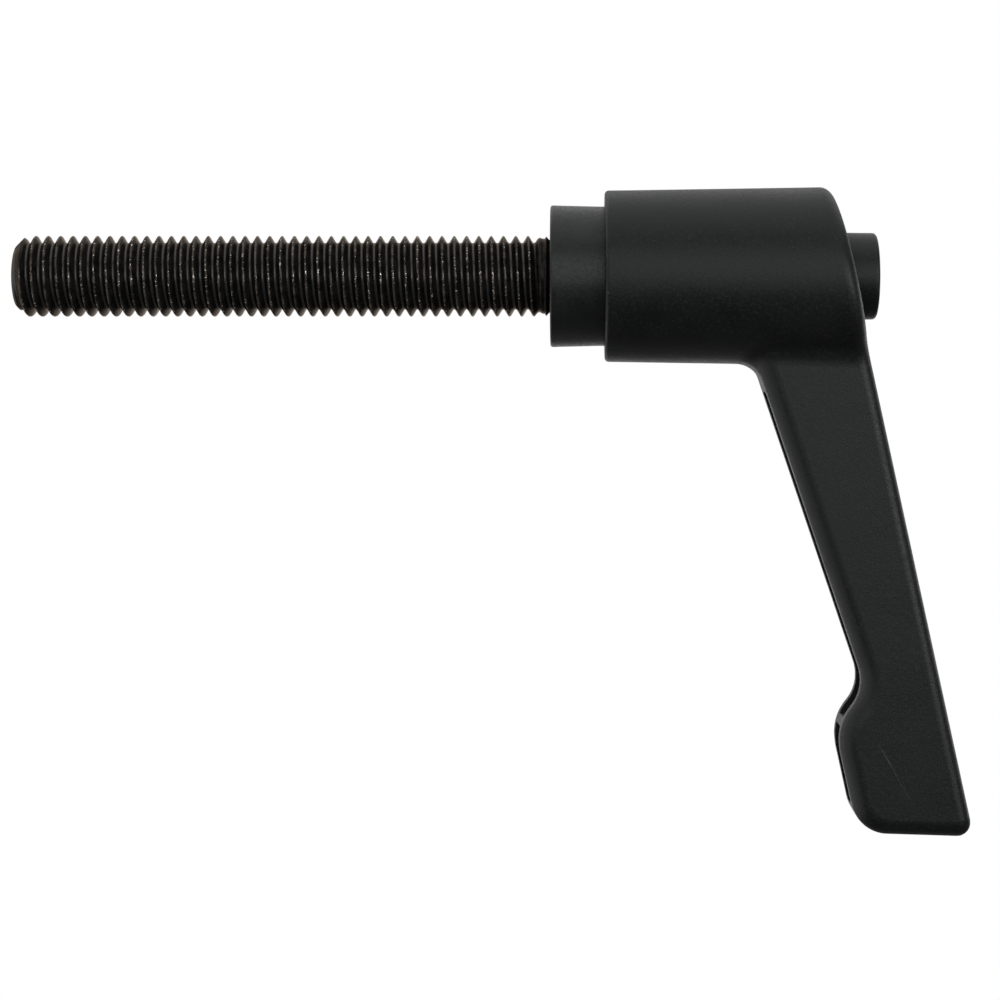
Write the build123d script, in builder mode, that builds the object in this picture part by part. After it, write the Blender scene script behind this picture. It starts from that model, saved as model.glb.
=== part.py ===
"""Adjustable clamping lever with push button: a moulded handle that indexes on a serrated steel insert.

Millimetres, +Z up along the stud's axis.
The origin is on that axis, in the insert's seating face.  The stud points down (-Z), the button up (+Z),
and the handle's arm runs out along +X.
"""

import os
from math import atan, cos, degrees, floor, pi, radians, sin, tan

from build123d import *

# ---------------------------------------------------------------- clearances
RUNNING_CLEARANCE = 0.06  # radial, between pieces that turn or slide on each other
THREAD_PLAY = 0.02  # radial, between a plain-modelled thread and its tapped hole
OVERSHOOT = 5.0  # how far a shape that is cut back, or cuts, reaches past its piece

# ---------------------------------------------------------------- stud
STUD_DIAMETER = 9.85  # crest diameter of an M10 x 1.5 thread
STUD_LENGTH = 65.0  # free length below the seating face
STUD_GRIP = 10.5  # length screwed into the insert
STUD_TIP_CHAMFER = 1.15
STUD_NECK_DEPTH = 0.325  # radial, where the thread runs out against the insert
STUD_NECK_LENGTH = 0.7

# ---------------------------------------------------------------- insert
COLLAR_DIAMETER = 17.3  # at the seating face
COLLAR_TAPER = 0.15  # radial, narrowing upwards
COLLAR_TAPER_HEIGHT = 6.1
COLLAR_HEIGHT = 11.6  # top shoulder, on which the toothed bush stands
COLLAR_EDGE_ROUNDING = 0.3
STUD_HOLE_CHAMFER = 0.4
TOOTH_COUNT = 24
TOOTH_SHOULDER = 1.3  # ring left round the teeth, on which the toothed bush stands
TOOTH_DEPTH = 1.0
TOOTH_ROOT_GAP = 0.45  # between two teeth at their roots
TOOTH_FLANK_ANGLE = 17.1  # degrees, to the tooth's centre line
TOOTH_LENGTH = 3.5
TOOTH_CLEARANCE = 0.05  # between flanks of the two serrations
SPIGOT_DIAMETER = 8.0

# ---------------------------------------------------------------- retaining screw, washer and spring
SCREW_DIAMETER = 5.0
SCREW_LENGTH = 10.0
SCREW_HEAD_DIAMETER = 8.5
SCREW_HEAD_HEIGHT = 5.0
SCREW_SOCKET_FLATS = 4.0
SCREW_SOCKET_DEPTH = 2.5
SCREW_TIP_CHAMFER = 0.6
SCREW_HEAD_CHAMFER = 0.4
TAPPED_HOLE_SPARE = 1.5  # tapped depth below the screw's tip
WASHER_EDGE_CLEARANCE = 0.3  # radial, to the handle's bore
WASHER_HOLE_CLEARANCE = 0.15  # radial, to the screw
WASHER_THICKNESS = 1.0
SPRING_WIRE = 0.9
SPRING_COILS = 4.5
SPRING_LENGTH = 9.0  # installed, with the handle down
SPRING_SPIGOT_CLEARANCE = 0.2  # radial
SPRING_BORE_CLEARANCE = 0.4  # radial, to the handle's bore

# ---------------------------------------------------------------- toothed bush
BUSH_WALL = 1.05  # outside the teeth
BUSH_HEIGHT = 7.6
BUSH_TOOTH_RELIEF = 0.7  # free height above the insert's teeth
BUSH_GROOVE_DEPTH = 0.5  # ring groove that the moulding fills, so the bush can't pull out
BUSH_GROOVE_WIDTH = 1.4
BUSH_KEY_COUNT = 8  # scallops that the moulding fills, so the bush can't turn
BUSH_KEY_RADIUS = 0.8

# ---------------------------------------------------------------- handle: hub
HUB_MOUTH_Z = 6.6
HUB_WALL = 1.89  # round the collar, at the mouth
HUB_DRAFT = 0.9  # degrees, widening upwards
HUB_MOUTH_ROUNDING = 0.5
HUB_MOUTH_CHAMFER = 0.3  # inside edge, leads the collar in

# ---------------------------------------------------------------- handle: arm
TOP_ABOVE_SCREW = 2.17  # height of the sloping top face above the screw head, on the stud's axis
TOP_SLOPE = 12.3  # degrees, shared by the hub's top, the arm's top and the hook's back
ARM_REACH = 67.8  # stud axis to the upper corner of the arm's end
ARM_END_LEAN = 2.0  # degrees
ARM_ROOT_HALF_WIDTH = 5.9
ARM_END_HALF_WIDTH = 5.45
ARM_SIDE_DRAFT = 1.0  # degrees, narrowing upwards
RIM_SLOPE = 18.6  # degrees, straight stretch of the arm's lower rim
NOTCH_FROM_END = 18.8  # deepest point of the finger notch
NOTCH_THICKNESS = 9.53  # upright, from there to the top face
NOTCH_ENTRY_RADIUS = 5.6
NOTCH_RADIUS = 4.9
HOOK_FROM_END = 11.7  # lowest point of the hook
HOOK_THICKNESS = 13.65  # upright, from there to the top face
HOOK_BACK_RADIUS = 9.0
HEEL_RADIUS = 4.4
RIM_ROUNDING = 2.1
TOP_ROUNDING = 1.6
HUB_ROOT_ROUNDING = 3.4  # hollow corner all round between hub and arm

# ---------------------------------------------------------------- handle: hollow underside of the arm
CAVITY_HALF_WIDTH = 2.3  # at the rim
CAVITY_DRAFT = 1.0  # degrees, opening downwards
CAVITY_ROOF = 2.4  # thickness left under the top face
CAVITY_HUB_WALL = 3.55  # from the hub's round wall, at its mouth
CAVITY_END_WALL = 3.5
CAVITY_CORNER_RADIUS = 1.0
RIB_THICKNESS = 1.0
RIB_PITCH = 8.1
LAST_RIB_FROM_END = 13.7  # the one rib that comes flush with the rim
RIB_RECESS = 1.5

# ---------------------------------------------------------------- push button
BUTTON_SIDE_CLEARANCE = 0.1  # radial, to the handle's bore
BUTTON_WALL = 1.05  # least wall round the screw head
BUTTON_DRAFT = 0.7  # degrees, narrowing upwards
BUTTON_ABOVE_SCREW = 5.5  # height of the pressed face above the screw head
BUTTON_EDGE_ROUNDING = 0.5
BUTTON_SKIN = 1.8  # thickness of the pressed face
BUTTON_CORE_DIAMETER = 6.4  # hollow above the screw head
BUTTON_WASHER_GAP = 0.3
HEAD_TOP_GAP = 0.1

# ---------------------------------------------------------------- sizes that follow from the ones above
bush_top_z = COLLAR_HEIGHT + BUSH_HEIGHT
spigot_top_z = bush_top_z + SPRING_LENGTH
head_seat_z = spigot_top_z + WASHER_THICKNESS
head_top_z = head_seat_z + SCREW_HEAD_HEIGHT
screw_tip_z = head_seat_z - SCREW_LENGTH
top_z_at_axis = head_top_z + TOP_ABOVE_SCREW
button_base_z = head_seat_z + BUTTON_WASHER_GAP
button_top_z = head_top_z + BUTTON_ABOVE_SCREW
slope = tan(radians(TOP_SLOPE))

collar_radius = COLLAR_DIAMETER / 2
collar_top_radius = collar_radius - COLLAR_TAPER
tip_radius = collar_top_radius - TOOTH_SHOULDER
root_radius = tip_radius - TOOTH_DEPTH
root_width = 2 * root_radius * sin(pi / TOOTH_COUNT) - TOOTH_ROOT_GAP
spigot_radius = SPIGOT_DIAMETER / 2
bush_radius = tip_radius + TOOTH_CLEARANCE + BUSH_WALL
spring_radius = spigot_radius + SPRING_SPIGOT_CLEARANCE + SPRING_WIRE / 2
head_pocket_radius = SCREW_HEAD_DIAMETER / 2 + RUNNING_CLEARANCE
# the handle's upper bore takes the spring and the button, whichever needs more
upper_bore_radius = max(
    spring_radius + SPRING_WIRE / 2 + SPRING_BORE_CLEARANCE,
    head_pocket_radius + BUTTON_WALL + BUTTON_SIDE_CLEARANCE,
)
collar_bore_radius = collar_top_radius + RUNNING_CLEARANCE
hub_mouth_radius = collar_bore_radius + HUB_WALL

os.makedirs("parts", exist_ok=True)


def top_z(x):
    """Height of the handle's sloping top face at a distance x from the stud's axis."""
    return top_z_at_axis + slope * x


def serration(clearance=0):
    """Sketch of a ring of straight-flanked teeth, filled to the centre and grown by a clearance."""
    Circle(root_radius + clearance)
    # each tooth is a bar with sloping sides that starts well inside the root circle
    narrowing = tan(radians(TOOTH_FLANK_ANGLE))
    half_start = root_width / 2 + clearance + TOOTH_DEPTH * narrowing
    half_tip = root_width / 2 + clearance - (TOOTH_DEPTH + clearance) * narrowing
    with PolarLocations(0, TOOTH_COUNT):
        Polygon(
            (root_radius - TOOTH_DEPTH, -half_start),
            (tip_radius + clearance, -half_tip),
            (tip_radius + clearance, half_tip),
            (root_radius - TOOTH_DEPTH, half_start),
            align=None,
        )


# ================================================================ stud: threaded rod, bonded into the insert
with BuildPart() as stud:
    with BuildSketch(Plane.XY.offset(-STUD_LENGTH)):
        Circle(STUD_DIAMETER / 2)
    extrude(amount=STUD_LENGTH + STUD_GRIP)
    chamfer(stud.edges().group_by(Axis.Z)[0], length=STUD_TIP_CHAMFER)
    chamfer(stud.edges().group_by(Axis.Z)[-1], length=STUD_TIP_CHAMFER / 2)
    # the neck reaches up into the mouth of the insert's hole
    with BuildSketch(Plane.XY.offset(-STUD_NECK_LENGTH)):
        Circle(STUD_DIAMETER)
        Circle(STUD_DIAMETER / 2 - STUD_NECK_DEPTH, mode=Mode.SUBTRACT)
    extrude(amount=STUD_NECK_LENGTH + STUD_HOLE_CHAMFER, mode=Mode.SUBTRACT)
stud.part.label = "stud"

# ================================================================ insert: turned steel clamping element
stud_hole_radius = STUD_DIAMETER / 2 + THREAD_PLAY
screw_hole_radius = SCREW_DIAMETER / 2 + THREAD_PLAY
drill_point = tan(radians(31))  # depth of a 118 degree drill point over its radius

with BuildPart() as insert:
    with BuildSketch(Plane.XZ):
        with BuildLine():
            Polyline(
                (0, 0),
                (collar_radius, 0),
                (collar_top_radius, COLLAR_TAPER_HEIGHT),
                (collar_top_radius, COLLAR_HEIGHT),
                (spigot_radius, COLLAR_HEIGHT),
                (spigot_radius, spigot_top_z),
                (0, spigot_top_z),
                close=True,
            )
        make_face()
    revolve(axis=Axis.Z)
    with BuildSketch(Plane.XY.offset(COLLAR_HEIGHT)):
        serration()
    extrude(amount=TOOTH_LENGTH)
    fillet(insert.edges().filter_by(GeomType.CIRCLE).group_by(Axis.Z)[0], COLLAR_EDGE_ROUNDING)
    chamfer(insert.edges().filter_by(GeomType.CIRCLE).group_by(Axis.Z)[-1], COLLAR_EDGE_ROUNDING)
    with BuildSketch(Plane.XZ):
        with BuildLine():
            Polyline(
                (0, 0),
                (stud_hole_radius + STUD_HOLE_CHAMFER, 0),
                (stud_hole_radius, STUD_HOLE_CHAMFER),
                (stud_hole_radius, STUD_GRIP),
                (0, STUD_GRIP + stud_hole_radius * drill_point),
                close=True,
            )
        make_face()
        with BuildLine():
            Polyline(
                (0, spigot_top_z),
                (screw_hole_radius, spigot_top_z),
                (screw_hole_radius, screw_tip_z - TAPPED_HOLE_SPARE),
                (0, screw_tip_z - TAPPED_HOLE_SPARE - screw_hole_radius * drill_point),
                close=True,
            )
        make_face()
    revolve(axis=Axis.Z, mode=Mode.SUBTRACT)
insert.part.label = "insert"

# ================================================================ toothed bush: zinc, moulded into the hub
with BuildPart() as bush_blank:
    with BuildSketch(Plane.XZ):
        groove_z = COLLAR_HEIGHT + BUSH_HEIGHT / 2
        with BuildLine():
            Polyline(
                (0, COLLAR_HEIGHT),
                (bush_radius, COLLAR_HEIGHT),
                (bush_radius, groove_z - BUSH_GROOVE_WIDTH / 2),
                (bush_radius - BUSH_GROOVE_DEPTH, groove_z - BUSH_GROOVE_WIDTH / 2),
                (bush_radius - BUSH_GROOVE_DEPTH, groove_z + BUSH_GROOVE_WIDTH / 2),
                (bush_radius, groove_z + BUSH_GROOVE_WIDTH / 2),
                (bush_radius, bush_top_z),
                (0, bush_top_z),
                close=True,
            )
        make_face()
    revolve(axis=Axis.Z)
    with BuildSketch(Plane.XY.offset(COLLAR_HEIGHT)):
        with PolarLocations(bush_radius, BUSH_KEY_COUNT):
            Circle(BUSH_KEY_RADIUS)
    extrude(amount=BUSH_HEIGHT, mode=Mode.SUBTRACT)

with BuildPart() as toothed_bush:
    add(bush_blank.part)
    with BuildSketch(Plane.XY.offset(COLLAR_HEIGHT)):
        serration(TOOTH_CLEARANCE)
    extrude(amount=TOOTH_LENGTH + BUSH_TOOTH_RELIEF, mode=Mode.SUBTRACT)
    with BuildSketch(Plane.XY.offset(COLLAR_HEIGHT)):
        Circle(spigot_radius + RUNNING_CLEARANCE)
    extrude(amount=BUSH_HEIGHT, mode=Mode.SUBTRACT)
toothed_bush.part.label = "toothed_bush"

# ================================================================ return spring
with BuildPart() as return_spring:
    with BuildLine():
        coil = Helix(
            pitch=SPRING_LENGTH / SPRING_COILS,
            height=SPRING_LENGTH,
            radius=spring_radius,
            center=(0, 0, bush_top_z),
        )
    with BuildSketch(Plane(origin=coil @ 0, z_dir=coil % 0)):
        Circle(SPRING_WIRE / 2)
    sweep(path=coil, is_frenet=True)
    with BuildSketch(Plane.XY.offset(bush_top_z)):
        Circle(upper_bore_radius)
    extrude(amount=SPRING_LENGTH, mode=Mode.INTERSECT)
return_spring.part.label = "return_spring"

# ================================================================ washer
with BuildPart() as washer:
    with BuildSketch(Plane.XY.offset(spigot_top_z)):
        Circle(upper_bore_radius - WASHER_EDGE_CLEARANCE)
        Circle(SCREW_DIAMETER / 2 + WASHER_HOLE_CLEARANCE, mode=Mode.SUBTRACT)
    extrude(amount=WASHER_THICKNESS)
washer.part.label = "washer"

# ================================================================ retaining screw: hex-socket cap screw
with BuildPart() as retaining_screw:
    with BuildSketch(Plane.XY.offset(screw_tip_z)):
        Circle(SCREW_DIAMETER / 2)
    extrude(amount=SCREW_LENGTH)
    chamfer(retaining_screw.edges().group_by(Axis.Z)[0], length=SCREW_TIP_CHAMFER)
    with BuildSketch(Plane.XY.offset(head_seat_z)):
        Circle(SCREW_HEAD_DIAMETER / 2)
    extrude(amount=SCREW_HEAD_HEIGHT)
    chamfer(retaining_screw.edges().group_by(Axis.Z)[-1], length=SCREW_HEAD_CHAMFER)
    with BuildSketch(Plane.XY.offset(head_top_z)):
        RegularPolygon(SCREW_SOCKET_FLATS / 2, side_count=6, major_radius=False)
    extrude(amount=-SCREW_SOCKET_DEPTH, mode=Mode.SUBTRACT)
retaining_screw.part.label = "retaining_screw"

# ================================================================ push button: cap over the screw head
button_radius = upper_bore_radius - BUTTON_SIDE_CLEARANCE
button_top_radius = button_radius - (button_top_z - button_base_z) * tan(radians(BUTTON_DRAFT))

with BuildPart() as push_button:
    with BuildSketch(Plane.XZ):
        with BuildLine():
            Polyline(
                (0, button_base_z),
                (button_radius, button_base_z),
                (button_top_radius, button_top_z),
                (0, button_top_z),
                close=True,
            )
        make_face()
    revolve(axis=Axis.Z)
    fillet(push_button.edges().group_by(Axis.Z)[-1], radius=BUTTON_EDGE_ROUNDING)
    with BuildSketch(Plane.XY.offset(button_base_z)):
        Circle(head_pocket_radius)
    extrude(amount=head_top_z + HEAD_TOP_GAP - button_base_z, mode=Mode.SUBTRACT)
    with BuildSketch(Plane.XY.offset(button_base_z)):
        Circle(BUTTON_CORE_DIAMETER / 2)
    extrude(amount=button_top_z - BUTTON_SKIN - button_base_z, mode=Mode.SUBTRACT)
push_button.part.label = "push_button"

# ================================================================ handle: one nylon moulding
sine = sin(radians(TOP_SLOPE))
cosine = cos(radians(TOP_SLOPE))
top_plane = Plane(origin=(0, 0, top_z_at_axis), x_dir=(cosine, 0, sine), z_dir=(-sine, 0, cosine))
notch_x = ARM_REACH - NOTCH_FROM_END
notch_z = top_z(notch_x) - NOTCH_THICKNESS
hook_x = ARM_REACH - HOOK_FROM_END
hook_z = top_z(hook_x) - HOOK_THICKNESS


def on_top(shape):
    """True for an edge or a face in the sloping top plane."""
    return abs(top_plane.to_local_coords(shape.center()).Z) < 0.001


# side view of the arm: straight rim, finger notch, hook, heel, leaning end and sloping top
with BuildSketch() as arm_side:
    with BuildLine():
        entry = JernArc((notch_x, notch_z), (-1, 0), NOTCH_ENTRY_RADIUS, RIM_SLOPE)
        # notch and hook are opposite arcs, level at the notch's deepest and the hook's lowest point
        turn = 2 * degrees(atan((notch_z - hook_z) / (hook_x - notch_x)))
        hook_radius = (hook_x - notch_x) / sin(radians(turn)) - NOTCH_RADIUS
        notch = JernArc((notch_x, notch_z), (1, 0), NOTCH_RADIUS, -turn)
        hook = JernArc(notch @ 1, notch % 1, hook_radius, turn)
        back = JernArc(hook @ 1, hook % 1, HOOK_BACK_RADIUS, TOP_SLOPE)
        # the back runs parallel to the top, so its line meets the leaning end at the heel's corner
        depth = top_z((back @ 1).X) - (back @ 1).Y
        heel_x = ARM_REACH - depth * tan(radians(ARM_END_LEAN)) / (1 - slope * tan(radians(ARM_END_LEAN)))
        Polyline(
            entry @ 1,
            (0, (entry @ 1).Y - (entry @ 1).X * tan(radians(RIM_SLOPE))),
            (0, top_z(0)),
            (ARM_REACH, top_z(ARM_REACH)),
            (heel_x, top_z(heel_x) - depth),
            back @ 1,
        )
    make_face()
    heel = arm_side.vertices().sort_by_distance((heel_x, top_z(heel_x) - depth))[0]
    fillet(heel, HEEL_RADIUS)

# arm, still solid: the side view cut from a tapering, drafted bar
arm_bar_z = arm_side.sketch.bounding_box().min.Y
with BuildPart() as arm:
    with BuildSketch(Plane.XY.offset(arm_bar_z)):
        Polygon(
            (0, -ARM_ROOT_HALF_WIDTH),
            (ARM_REACH + OVERSHOOT, -ARM_END_HALF_WIDTH),
            (ARM_REACH + OVERSHOOT, ARM_END_HALF_WIDTH),
            (0, ARM_ROOT_HALF_WIDTH),
            align=None,
        )
    extrude(amount=top_z(ARM_REACH + OVERSHOOT) - arm_bar_z, taper=ARM_SIDE_DRAFT)
    with BuildSketch(Plane.XZ):
        add(arm_side.sketch)
    extrude(amount=2 * ARM_ROOT_HALF_WIDTH, both=True, mode=Mode.INTERSECT)
    sides = arm.faces().filter_by(lambda face: abs(face.normal_at().Y) > 0.9)
    rims = sides.edges().filter_by(
        lambda edge: not on_top(edge) and edge.bounding_box().max.X > hub_mouth_radius
    )
    fillet(rims, RIM_ROUNDING)

# hollow of the arm, with its ribs left standing
cavity_start_x = hub_mouth_radius + CAVITY_HUB_WALL
cavity_end_x = ARM_REACH - CAVITY_END_WALL
last_rib_x = ARM_REACH - LAST_RIB_FROM_END
rib_count = 1 + floor((last_rib_x - cavity_start_x) / RIB_PITCH)

with BuildPart() as cavity:
    with BuildSketch(Plane.XY.offset(arm_bar_z)):
        with Locations(((cavity_start_x + cavity_end_x) / 2, 0)):
            RectangleRounded(
                cavity_end_x - cavity_start_x,
                2 * CAVITY_HALF_WIDTH,
                CAVITY_CORNER_RADIUS,
            )
    extrude(amount=top_z(ARM_REACH) - arm_bar_z, taper=CAVITY_DRAFT)
    split(bisect_by=top_plane.offset(-CAVITY_ROOF), keep=Keep.BOTTOM)
    for number in range(rib_count):
        recess = RIB_RECESS if number else 0
        with BuildSketch(Plane.XZ):
            with Locations((0, recess)):
                add(arm_side.sketch)
            with Locations((last_rib_x - number * RIB_PITCH, hook_z)):
                Rectangle(RIB_THICKNESS, ARM_REACH, mode=Mode.INTERSECT)
        extrude(amount=2 * CAVITY_HALF_WIDTH, both=True, mode=Mode.SUBTRACT)

with BuildPart() as handle:
    # drafted hub under the sloping top
    with BuildSketch(Plane.XY.offset(HUB_MOUTH_Z)):
        Circle(hub_mouth_radius)
    extrude(amount=top_z(hub_mouth_radius + OVERSHOOT) - HUB_MOUTH_Z, taper=-HUB_DRAFT)
    split(bisect_by=top_plane, keep=Keep.BOTTOM)
    add(arm.part)
    # hollow corner between hub and arm, then one rounding round the whole top, then the mouth
    hub_wall = handle.faces().filter_by(GeomType.CONE).sort_by(SortBy.AREA)[-1]
    root_edges = hub_wall.edges().filter_by(
        lambda edge: not on_top(edge) and edge.center().X > 0 and edge.center().Z > COLLAR_HEIGHT
    )
    fillet(root_edges, HUB_ROOT_ROUNDING)
    top_face = handle.faces().filter_by(on_top).sort_by(SortBy.AREA)[-1]
    fillet(top_face.edges(), TOP_ROUNDING)
    fillet(handle.edges().group_by(Axis.Z)[0], HUB_MOUTH_ROUNDING)
    # stepped bore: collar, toothed bush, then spring and button
    with BuildSketch(Plane.XZ):
        with BuildLine():
            Polyline(
                (0, HUB_MOUTH_Z),
                (collar_bore_radius + HUB_MOUTH_CHAMFER, HUB_MOUTH_Z),
                (collar_bore_radius, HUB_MOUTH_Z + HUB_MOUTH_CHAMFER),
                (collar_bore_radius, COLLAR_HEIGHT),
                (upper_bore_radius, COLLAR_HEIGHT),
                (upper_bore_radius, top_z(upper_bore_radius + OVERSHOOT)),
                (0, top_z(upper_bore_radius + OVERSHOOT)),
                close=True,
            )
        make_face()
    revolve(axis=Axis.Z, mode=Mode.SUBTRACT)
    add(bush_blank.part, mode=Mode.SUBTRACT)
    add(cavity.part, mode=Mode.SUBTRACT)
handle.part.label = "handle"

# ================================================================ files
for piece in (stud, insert, toothed_bush, return_spring, washer, retaining_screw, push_button, handle):
    export_step(piece.part, f"parts/{piece.part.label}.step")
    print(piece.part.label, len(piece.part.solids()), round(piece.part.volume, 1))
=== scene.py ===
"""Looks of an adjustable clamping lever: finishes, true thread, return spring, light and camera.

Metres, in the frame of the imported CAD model: +Z up along the stud's axis, the arm along +X.
"""

from math import cos, pi, sin

import bmesh
import bpy
from mathutils import Matrix, Vector


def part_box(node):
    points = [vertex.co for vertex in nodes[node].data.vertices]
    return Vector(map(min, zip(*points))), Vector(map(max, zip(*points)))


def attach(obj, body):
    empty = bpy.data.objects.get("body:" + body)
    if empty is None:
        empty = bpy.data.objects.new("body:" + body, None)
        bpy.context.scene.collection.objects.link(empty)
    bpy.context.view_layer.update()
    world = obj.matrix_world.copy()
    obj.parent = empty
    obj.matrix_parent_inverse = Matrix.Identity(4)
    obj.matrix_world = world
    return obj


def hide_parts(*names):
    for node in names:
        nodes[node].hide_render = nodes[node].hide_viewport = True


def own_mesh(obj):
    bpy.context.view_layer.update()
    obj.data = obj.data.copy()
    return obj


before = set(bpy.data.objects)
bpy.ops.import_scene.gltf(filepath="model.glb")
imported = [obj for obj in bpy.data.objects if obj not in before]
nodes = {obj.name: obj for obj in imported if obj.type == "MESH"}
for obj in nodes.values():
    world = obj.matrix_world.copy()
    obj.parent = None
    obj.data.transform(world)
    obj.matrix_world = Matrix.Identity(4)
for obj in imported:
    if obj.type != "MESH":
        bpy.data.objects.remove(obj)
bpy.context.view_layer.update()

MM = 0.001

CAMERA_PLACE = (0.009, -0.300, 0.0036)  # level with the arm's root, 0.3 m in front
CAMERA_LENS = 88.45  # millimetres, on a sensor 36 mm wide

ROOM_LEVEL = 0.10  # of white: what the room gives besides the lamps
BOUNCE_WHITE = 0.75  # of floor and backdrop, for light that bounces off them
COOL_TINT = (0.96, 1.0, 0.98, 1)  # of the reflections on nylon and turned black steel

# ---------------------------------------------------------------- thread of the stud: M10 x 1.5, right-hand
THREAD_PITCH = 1.5 * MM
THREAD_DEPTH = 0.86 * MM
CREST_WIDTH = 0.2 * MM
ROOT_WIDTH = 0.26 * MM
FLANK_LENGTH = (THREAD_PITCH - CREST_WIDTH - ROOT_WIDTH) / 2  # along the axis
BEND_HALF_WIDTH = 0.05 * MM  # of the small facet at each bend of the profile
THREAD_STEPS = 96  # round one turn
RUN_OUT = 1.5 * MM  # length over which the thread fades into the neck
TIP_CHAMFER = 1.15 * MM
NECK_LENGTH = 0.7 * MM
NECK_DEPTH = 0.325 * MM
NECK_TOP = 0.4 * MM  # the neck reaches this far into the insert
RING_DEPTH = 0.06 * MM  # of the run-out's last ring, below the crest
RING_FOOT = 0.12 * MM  # height of the ring's feet above the neck
GROOVE_DEPTH = 0.15 * MM  # below the neck, beside the collar
RUBBED_RADII = (4.85 * MM, 4.92 * MM)  # where the rubbed crest begins and where it is full
PAINTED_ROOT_SHEEN_RADII = (4.09 * MM, 4.17 * MM)  # where the painted sheen in the roots is full and where it ends

# ---------------------------------------------------------------- return spring
SPRING_TURNS = 4.5
SPRING_CLOSED_TURNS = 0.75  # at each end
SPRING_EVEN_SHARE = 0.65  # of the rise that is even, the rest eases in and out
SPRING_WIRE = 0.9 * MM
SPRING_SIDES = 14
SPRING_STEPS = 48  # along one turn

# ---------------------------------------------------------------- worn marks on the handle, in millimetres
# start, end, half width, how pale: three stretches of one scratch on the arm, two specks at the hub's mouth
HANDLE_MARKS = (
    ((56.8, -5.5, 39.7), (59.0, -5.5, 41.0), 0.12, 0.7),
    ((59.0, -5.5, 41.0), (60.6, -5.5, 41.8), 0.09, 0.5),
    ((60.6, -5.5, 41.8), (62.9, -5.5, 43.2), 0.09, 0.45),
    ((2.2, -10.1, 6.9), (2.3, -10.1, 7.0), 0.16, 0.6),
    ((-2.2, -10.2, 6.8), (-2.1, -10.2, 6.9), 0.12, 0.5),
)


# ================================================================ node helpers
class Material:
    """A node material with a Principled shader and short calls for the nodes that feed it."""

    def __init__(self, name, **inputs):
        self.material = bpy.data.materials.new(name)
        self.material.use_nodes = True
        self.tree = self.material.node_tree
        self.shader = self.tree.nodes["Principled BSDF"]
        for label, value in inputs.items():
            self.shader.inputs[label.replace("_", " ")].default_value = value
        self.coords = self.tree.nodes.new("ShaderNodeTexCoord").outputs["Object"]
        self.heights = []

    def node(self, kind, links=(), **settings):
        made = self.tree.nodes.new(kind)
        for key, value in settings.items():
            setattr(made, key, value)
        for socket, source in dict(links).items():
            if isinstance(source, bpy.types.NodeSocket):
                self.tree.links.new(source, made.inputs[socket])
            else:
                made.inputs[socket].default_value = source
        return made

    def mapped(self, scale):
        """The object's own coordinates, stretched."""
        return self.node("ShaderNodeMapping", {"Vector": self.coords, "Scale": scale}).outputs[0]

    def vector_math(self, operation, a, b=None, scale=None):
        """The output sockets of a vector sum, product or measure."""
        links = {0: a}
        if b is not None:
            links[1] = b
        if scale is not None:
            links["Scale"] = scale
        return self.node("ShaderNodeVectorMath", links, operation=operation).outputs

    def noise(self, size, detail=2.0, roughness=0.5, vector=None):
        """Noise with blotches about `size` metres across."""
        made = self.node("ShaderNodeTexNoise", {"Vector": vector or self.coords, "Scale": 1 / size})
        made.inputs["Detail"].default_value = detail
        made.inputs["Roughness"].default_value = roughness
        return made.outputs["Fac"]

    def ramp(self, value, low, high, start=0.0, end=1.0):
        """The value's stretch from low to high, brought to start ... end."""
        links = {"Value": value, "From Min": low, "From Max": high, "To Min": start, "To Max": end}
        return self.node("ShaderNodeMapRange", links).outputs[0]

    def math(self, operation, a, b=0.0):
        return self.node("ShaderNodeMath", {0: a, 1: b}, operation=operation).outputs[0]

    def mix(self, factor, a, b):
        made = self.node("ShaderNodeMix", data_type="RGBA")
        # the Mix node's colour sockets are its sixth and seventh, counted from 0
        for socket, source in ((0, factor), (6, a), (7, b)):
            if isinstance(source, bpy.types.NodeSocket):
                self.tree.links.new(source, made.inputs[socket])
            else:
                made.inputs[socket].default_value = source
        return made.outputs[2]

    def colour(self, source):
        self.tree.links.new(source, self.shader.inputs["Base Color"])

    def roughness(self, source):
        self.tree.links.new(source, self.shader.inputs["Roughness"])

    def bump(self, height, depth):
        """Adds relief: `depth` metres between a height of 0 and of 1."""
        links = {"Height": height, "Distance": depth}
        if self.heights:
            links["Normal"] = self.heights[-1]
        self.heights.append(self.node("ShaderNodeBump", links).outputs[0])
        self.tree.links.new(self.heights[-1], self.shader.inputs["Normal"])

    def line_mask(self, start, end, half_width):
        """1 on the line from start to end, fading to 0 at half_width; distances in Y count a tenth."""
        flat = Vector((1, 0.1, 1))
        origin = start * flat
        run = (end - start) * flat
        from_start = self.vector_math("SUBTRACT", self.mapped(flat), origin)[0]
        along = self.vector_math("DOT_PRODUCT", from_start, run)["Value"]
        share = self.ramp(along, 0.0, run.length_squared)
        foot = self.vector_math("SCALE", run, scale=share)[0]
        beside = self.vector_math("SUBTRACT", from_start, foot)[0]
        distance = self.vector_math("LENGTH", beside)["Value"]
        return self.ramp(distance, 0.0, half_width, 1.0, 0.0)

    def radius(self):
        """Distance from the stud's axis, in metres."""
        flat = self.vector_math("MULTIPLY", self.coords, (1, 1, 0))[0]
        return self.vector_math("LENGTH", flat)["Value"]


def grey(level, warmth=0.0):
    """A linear colour of one level, a little warmer or cooler."""
    return (level * (1 + warmth), level, level * (1 - warmth), 1)


def tone(level):
    """A near-neutral black, a touch cool and green."""
    return (level * 0.94, level * 1.03, level * 1.0, 1)


def finish(piece, material):
    """Gives a piece its material."""
    piece.data.materials.clear()
    piece.data.materials.append(material.material)


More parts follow.
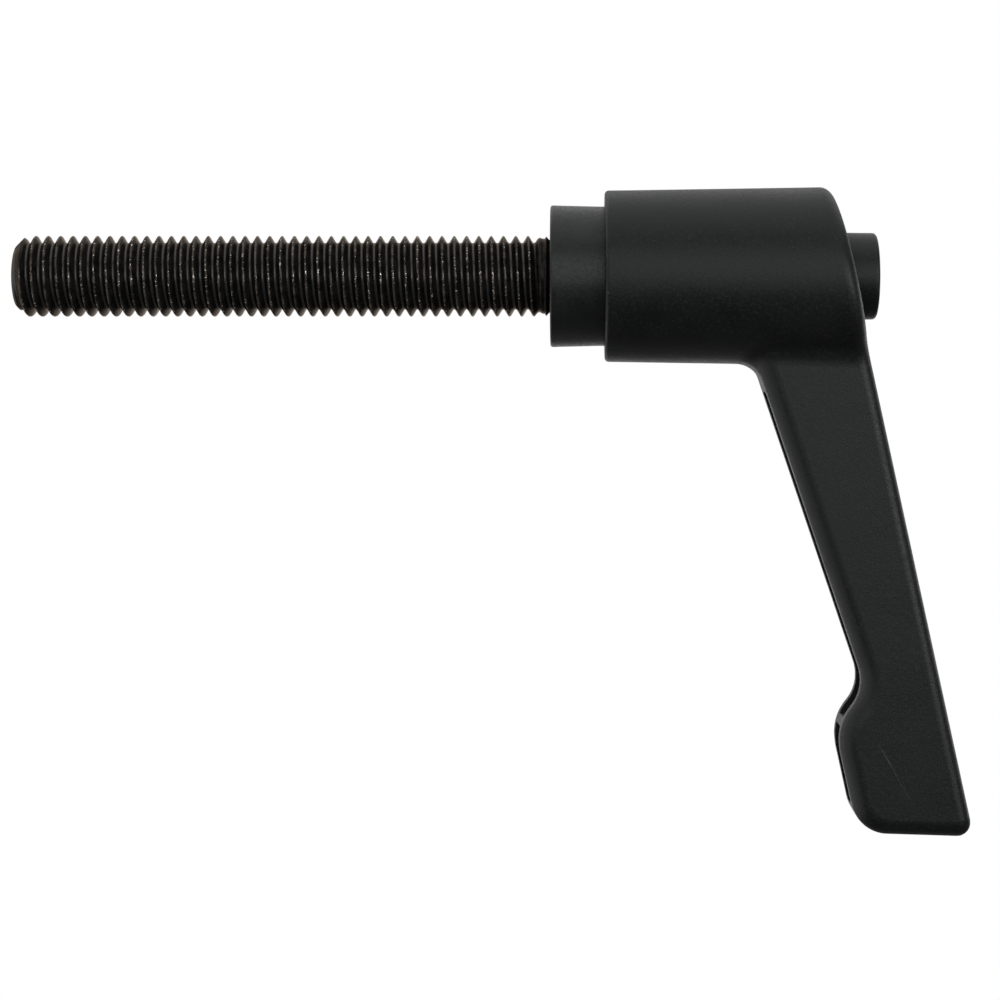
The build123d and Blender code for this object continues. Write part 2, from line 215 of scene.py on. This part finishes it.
# ================================================================ materials
def moulded_nylon(name, marks=()):
    """Matt black glass-filled nylon with a spark-eroded grain; marks are worn pale lines."""
    made = Material(name, Specular_IOR_Level=0.31, Specular_Tint=COOL_TINT)
    grain = made.noise(0.34 * MM, detail=4, roughness=0.6)
    cloud = made.noise(6 * MM, detail=3)
    base = made.mix(made.ramp(cloud, 0.35, 0.65), tone(0.0044), tone(0.0066))
    base = made.mix(made.ramp(grain, 0.55, 0.75, 0.0, 0.8), base, tone(0.021))
    for start, end, half_width, paleness in marks:
        line = made.line_mask(Vector(start) * MM, Vector(end) * MM, half_width * MM)
        broken = made.ramp(made.noise(0.5 * MM), 0.35, 0.6, 0.2, paleness)
        base = made.mix(made.math("MULTIPLY", line, broken), base, tone(0.10))
    made.colour(base)
    clouded = made.ramp(cloud, 0.3, 0.7, 0.42, 0.48)
    made.roughness(made.math("ADD", clouded, made.ramp(grain, 0.3, 0.7, -0.07, 0.07)))
    made.bump(grain, 0.026 * MM)
    made.bump(made.noise(2.5 * MM, detail=2), 0.02 * MM)
    return made


def turned_black_steel(name, base, roughness):
    """Black oxide on turned steel: fine rings round the axis under an even dark skin."""
    made = Material(name, Specular_IOR_Level=0.4, Specular_Tint=COOL_TINT)
    rings = made.noise(0.05 * MM, detail=2, vector=made.mapped((0.04, 0.04, 1)))
    skin = made.noise(0.35 * MM, detail=3)
    cloud = made.noise(3 * MM, detail=3)
    made.colour(made.mix(made.ramp(cloud, 0.35, 0.65), tone(base * 0.7), tone(base * 1.3)))
    made.roughness(made.ramp(skin, 0.3, 0.7, roughness - 0.09, roughness + 0.09))
    made.bump(rings, 0.003 * MM)
    made.bump(skin, 0.022 * MM)
    return made


def oxidised_thread(name):
    """Oily, slightly brown black oxide on a rolled thread: crests rubbed bright in places, and a painted
    sheen of paler grey in the roots.
    """
    made = Material(name, Metallic=0.6, Specular_IOR_Level=0.15, Specular_Tint=(0.55, 0.46, 0.38, 1))
    cloud = made.noise(1.2 * MM, detail=4)
    fleck = made.noise(0.22 * MM, detail=2)
    radius = made.radius()
    crest = made.ramp(radius, *RUBBED_RADII)
    # painted sheen: the roots are painted a paler grey, mixed into the dark base, to stand for their
    # reflection
    root = made.ramp(radius, *PAINTED_ROOT_SHEEN_RADII, 0.8, 0.0)
    dark = made.mix(made.ramp(cloud, 0.35, 0.7), grey(0.009, 0.0), grey(0.026, 0.08))
    dark = made.mix(root, dark, grey(0.085, 0.03))
    rubbed = made.mix(made.ramp(cloud, 0.4, 0.62), grey(0.025, 0.14), grey(0.085, 0.14))
    bright = made.mix(made.ramp(fleck, 0.62, 0.70), rubbed, grey(0.75, 0.06))
    made.colour(made.mix(crest, dark, bright))
    made.roughness(made.ramp(cloud, 0.3, 0.7, 0.22, 0.34))
    made.bump(made.noise(0.25 * MM, detail=2), 0.005 * MM)
    return made


def drawn_wire(name):
    """Bright spring wire with faint drawing lines."""
    made = Material(name, Metallic=1.0)
    lines = made.noise(0.08 * MM, detail=2)
    made.colour(made.mix(lines, grey(0.5, 0.01), grey(0.66)))
    made.roughness(made.ramp(lines, 0.3, 0.7, 0.22, 0.34))
    made.bump(lines, 0.002 * MM)
    return made


def die_cast_zinc(name):
    """Plain die-cast zinc, slightly clouded."""
    made = Material(name, Metallic=1.0)
    cloud = made.noise(1.5 * MM, detail=4)
    made.colour(made.mix(made.ramp(cloud, 0.3, 0.7), grey(0.42, -0.01), grey(0.56)))
    made.roughness(made.ramp(cloud, 0.3, 0.7, 0.35, 0.55))
    made.bump(made.noise(0.3 * MM), 0.006 * MM)
    return made


def studio_white(name, glow, lit_share):
    """White for the camera and for reflections, with a share of real light so that shadows stay."""
    made = bpy.data.materials.new(name)
    made.use_nodes = True
    tree = made.node_tree
    tree.nodes.clear()
    path = tree.nodes.new("ShaderNodeLightPath")
    seen = path.outputs["Is Camera Ray"]
    for ray in ("Is Glossy Ray", "Is Transmission Ray"):
        either = tree.nodes.new("ShaderNodeMath")
        either.operation = "MAXIMUM"
        tree.links.new(seen, either.inputs[0])
        tree.links.new(path.outputs[ray], either.inputs[1])
        seen = either.outputs[0]
    plain = tree.nodes.new("ShaderNodeBsdfDiffuse")
    plain.inputs["Color"].default_value = grey(BOUNCE_WHITE)
    lit = tree.nodes.new("ShaderNodeBsdfDiffuse")
    lit.inputs["Color"].default_value = grey(lit_share)
    light = tree.nodes.new("ShaderNodeEmission")
    light.inputs["Strength"].default_value = glow
    both = tree.nodes.new("ShaderNodeAddShader")
    tree.links.new(lit.outputs[0], both.inputs[0])
    tree.links.new(light.outputs[0], both.inputs[1])
    choice = tree.nodes.new("ShaderNodeMixShader")
    tree.links.new(seen, choice.inputs[0])
    tree.links.new(plain.outputs[0], choice.inputs[1])
    tree.links.new(both.outputs[0], choice.inputs[2])
    out = tree.nodes.new("ShaderNodeOutputMaterial")
    tree.links.new(choice.outputs[0], out.inputs["Surface"])
    return made


# ================================================================ meshes
def new_piece(name, mesh_in_progress):
    """Turns a bmesh into a smooth-shaded object."""
    data = bpy.data.meshes.new(name)
    mesh_in_progress.to_mesh(data)
    mesh_in_progress.free()
    data.polygons.foreach_set("use_smooth", [True] * len(data.polygons))
    made = bpy.data.objects.new(name, data)
    bpy.context.scene.collection.objects.link(made)
    return made


def grid_mesh(rows):
    """A skin over equally long rows of points."""
    mesh = bmesh.new()
    vertices = [[mesh.verts.new(point) for point in row] for row in rows]
    for lower, upper in zip(vertices, vertices[1:]):
        for i in range(len(lower) - 1):
            mesh.faces.new((lower[i], lower[i + 1], upper[i + 1], upper[i]))
    return mesh


def smooth_step(t):
    """From 0 to 1 with level ends."""
    t = min(max(t, 0.0), 1.0)
    return t * t * (3 - 2 * t)


def thread_depth_at(offset):
    """Depth below the crest at a distance from the crest's middle, along the axis, for one pitch."""
    down_flank = (abs(offset) - CREST_WIDTH / 2) / FLANK_LENGTH
    return THREAD_DEPTH * min(max(down_flank, 0.0), 1.0)


def build_thread():
    """The stud with its real helix: chamfered tip, run-out with a last ring, and neck under the collar."""
    low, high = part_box("stud")
    crest = high.x
    neck_z = -NECK_LENGTH
    # where the profile of one pitch bends, measured along the axis from the crest's middle
    edge = CREST_WIDTH / 2
    foot = edge + FLANK_LENGTH
    mid_flank = edge + FLANK_LENGTH / 2
    bend = BEND_HALF_WIDTH
    marks = [-edge - bend, -edge + bend, edge - bend, edge + bend]
    marks += [mid_flank, foot - bend, foot + bend]
    marks += [THREAD_PITCH - foot - bend, THREAD_PITCH - foot + bend, THREAD_PITCH - mid_flank]

    def radius_at(z, phase_z):
        offset = (phase_z + THREAD_PITCH / 2) % THREAD_PITCH - THREAD_PITCH / 2
        # the thread gets shallower as it runs out
        fade = smooth_step((z - (neck_z - RUN_OUT)) / RUN_OUT)
        depth = thread_depth_at(offset) * (1 - fade) + NECK_DEPTH * fade
        chamfer = crest - TIP_CHAMFER + (z - low.z)
        return min(crest - depth, chamfer)

    # last ring, groove beside the collar, and the shank hidden in the insert, as radius and height
    neck_r = crest - NECK_DEPTH
    upper_end = (
        (neck_r + RING_FOOT, neck_z * 0.9),
        (crest - RING_DEPTH, neck_z * 0.72),
        (neck_r + RING_FOOT, neck_z * 0.54),
        (neck_r, neck_z * 0.42),
        (neck_r - GROOVE_DEPTH, neck_z * 0.2),
        (neck_r, NECK_TOP),
        (crest, NECK_TOP),
        (crest, high.z - TIP_CHAMFER / 2),
        (crest - TIP_CHAMFER / 2, high.z),
        (0, high.z),
    )
    turns = int((neck_z - low.z) / THREAD_PITCH) + 2
    rows = []
    for step in range(THREAD_STEPS + 1):
        angle = 2 * pi * step / THREAD_STEPS
        row = [(0, 0, low.z)]
        for turn in range(-1, turns + 1):
            for mark in marks:
                z = low.z + (turn + step / THREAD_STEPS) * THREAD_PITCH + mark
                # a point past either end is brought back to it, and takes the phase it has there
                z = min(max(z, low.z), neck_z)
                r = radius_at(z, z - low.z - step / THREAD_STEPS * THREAD_PITCH)
                row.append((r * cos(angle), r * sin(angle), z))
        row += [(r * cos(angle), r * sin(angle), z) for r, z in upper_end]
        rows.append(row)
    mesh = grid_mesh(rows)
    bmesh.ops.remove_doubles(mesh, verts=mesh.verts, dist=0.002 * MM)
    bmesh.ops.dissolve_degenerate(mesh, edges=mesh.edges, dist=0.001 * MM)
    bmesh.ops.recalc_face_normals(mesh, faces=mesh.faces)
    return new_piece("threaded_stud", mesh)


def build_spring():
    """The return spring as wound wire, with closed ends that lie flat on the bush and the washer."""
    low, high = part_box("return_spring")
    wire = SPRING_WIRE / 2
    mean = high.x - wire
    height = high.z - low.z - SPRING_WIRE
    steps = int(SPRING_TURNS * SPRING_STEPS)
    rows = []
    for i in range(steps + 1):
        turned = i / steps * SPRING_TURNS
        eased = smooth_step((turned - SPRING_CLOSED_TURNS / 2) / (SPRING_TURNS - SPRING_CLOSED_TURNS))
        even = (turned - SPRING_CLOSED_TURNS) / (SPRING_TURNS - 2 * SPRING_CLOSED_TURNS)
        rise = (1 - SPRING_EVEN_SHARE) * eased + SPRING_EVEN_SHARE * min(max(even, 0), 1)
        angle = 2 * pi * turned
        centre = Vector((mean * cos(angle), mean * sin(angle), low.z + wire + height * rise))
        outward = Vector((cos(angle), sin(angle), 0))
        row = []
        for side in range(SPRING_SIDES + 1):
            a = 2 * pi * side / SPRING_SIDES
            row.append(centre + (outward * cos(a) + Vector((0, 0, 1)) * sin(a)) * wire)
        rows.append(row)
    mesh = grid_mesh(rows)
    bmesh.ops.remove_doubles(mesh, verts=mesh.verts, dist=0.001 * MM)
    bmesh.ops.holes_fill(mesh, edges=mesh.edges, sides=SPRING_SIDES)
    bmesh.ops.recalc_face_normals(mesh, faces=mesh.faces)
    return new_piece("coil_spring", mesh)


# ================================================================ the object
finish(nodes["handle"], moulded_nylon("handle_nylon_grain", HANDLE_MARKS))
finish(nodes["push_button"], moulded_nylon("button_nylon_grain"))
finish(nodes["insert"], turned_black_steel("insert_black_oxide", 0.007, 0.42))
finish(nodes["washer"], turned_black_steel("washer_black_oxide", 0.012, 0.38))
finish(nodes["retaining_screw"], turned_black_steel("screw_black_oxide", 0.012, 0.38))
finish(nodes["toothed_bush"], die_cast_zinc("bush_die_cast"))

threaded_stud = build_thread()
finish(threaded_stud, oxidised_thread("thread_black_oxide"))
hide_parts("stud")
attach(threaded_stud, "stem")

coil_spring = build_spring()
finish(coil_spring, drawn_wire("spring_wire_bright"))
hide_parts("return_spring")
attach(coil_spring, "lever")
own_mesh(coil_spring)


# ================================================================ camera
def add_camera():
    """Looks along +Y, rolled so that the stud points left and the arm hangs down in the picture."""
    data = bpy.data.cameras.new("camera")
    data.sensor_width = 36
    data.lens = CAMERA_LENS
    # the lens's axis meets the picture right of its middle and above it
    data.shift_x = -0.08
    data.shift_y = -0.15
    data.clip_start = 0.01
    data.clip_end = 20
    made = bpy.data.objects.new("camera", data)
    right, up, back = Vector((0, 0, 1)), Vector((-1, 0, 0)), Vector((0, -1, 0))
    turn = Matrix((right, up, back)).transposed()
    made.matrix_world = Matrix.Translation(CAMERA_PLACE) @ turn.to_4x4()
    bpy.context.scene.collection.objects.link(made)
    bpy.context.scene.camera = made


# ================================================================ light and surroundings
def add_sheet(name, centre, right, up, material):
    """A flat stage sheet; right and up are its half sizes as vectors."""
    mesh = bmesh.new()
    c, r, u = Vector(centre), Vector(right), Vector(up)
    mesh.faces.new([mesh.verts.new(p) for p in (c - r - u, c + r - u, c + r + u, c - r + u)])
    made = new_piece(name, mesh)
    made.data.materials.append(material)


def add_soft_box(name, place, target, width, height, radiance):
    """An area light whose face is as bright as a white sheet of that radiance."""
    data = bpy.data.lights.new(name, "AREA")
    data.shape = "RECTANGLE"
    data.size = width
    data.size_y = height
    data.energy = radiance * pi * width * height
    made = bpy.data.objects.new(name, data)
    made.location = place
    made.rotation_mode = "QUATERNION"
    made.rotation_quaternion = (Vector(target) - Vector(place)).to_track_quat("-Z", "Y")
    made.visible_camera = False
    bpy.context.scene.collection.objects.link(made)


def add_world():
    """White to the camera; a dim room to everything else."""
    world = bpy.data.worlds.new("studio")
    bpy.context.scene.world = world
    world.use_nodes = True
    tree = world.node_tree
    background = tree.nodes["Background"]
    path = tree.nodes.new("ShaderNodeLightPath")
    level = tree.nodes.new("ShaderNodeMapRange")
    level.inputs["To Min"].default_value = ROOM_LEVEL
    level.inputs["To Max"].default_value = 1.0
    tree.links.new(path.outputs["Is Camera Ray"], level.inputs["Value"])
    background.inputs["Color"].default_value = grey(1.0)
    tree.links.new(level.outputs[0], background.inputs["Strength"])


add_camera()
add_world()
floor_white = studio_white("floor_white", glow=0.93, lit_share=0.3)
backdrop_white = studio_white("backdrop_white", glow=1.0, lit_share=0.0)
add_sheet("floor", (0, 0, -0.5), (0.6, 0, 0), (0, 0.6, 0), floor_white)
add_sheet("backdrop", (0.08, 0.9, 0.05), (0.45, 0, 0), (0, 0, 0.45), backdrop_white)
add_soft_box("key", place=(-0.075, -0.34, -0.01), target=(0, 0, 0.01), width=0.3, height=0.3, radiance=1.35)
add_soft_box("overhead", place=(-0.6, 0.15, 0.05), target=(0, 0, 0.01), width=1.5, height=1.3, radiance=0.9)
add_soft_box("side", place=(-0.02, -0.31, 0.31), target=(0.02, 0, 0.02), width=0.14, height=0.3, radiance=5.2)
add_soft_box("rim", place=(0, 0.4, 0.48), target=(0.01, 0, 0.03), width=0.3, height=0.4, radiance=1.3)
add_soft_box("under", place=(0.5, 0.45, 0), target=(0.03, 0, 0), width=0.6, height=0.6, radiance=0.12)

bpy.context.scene.view_settings.view_transform = "Standard"
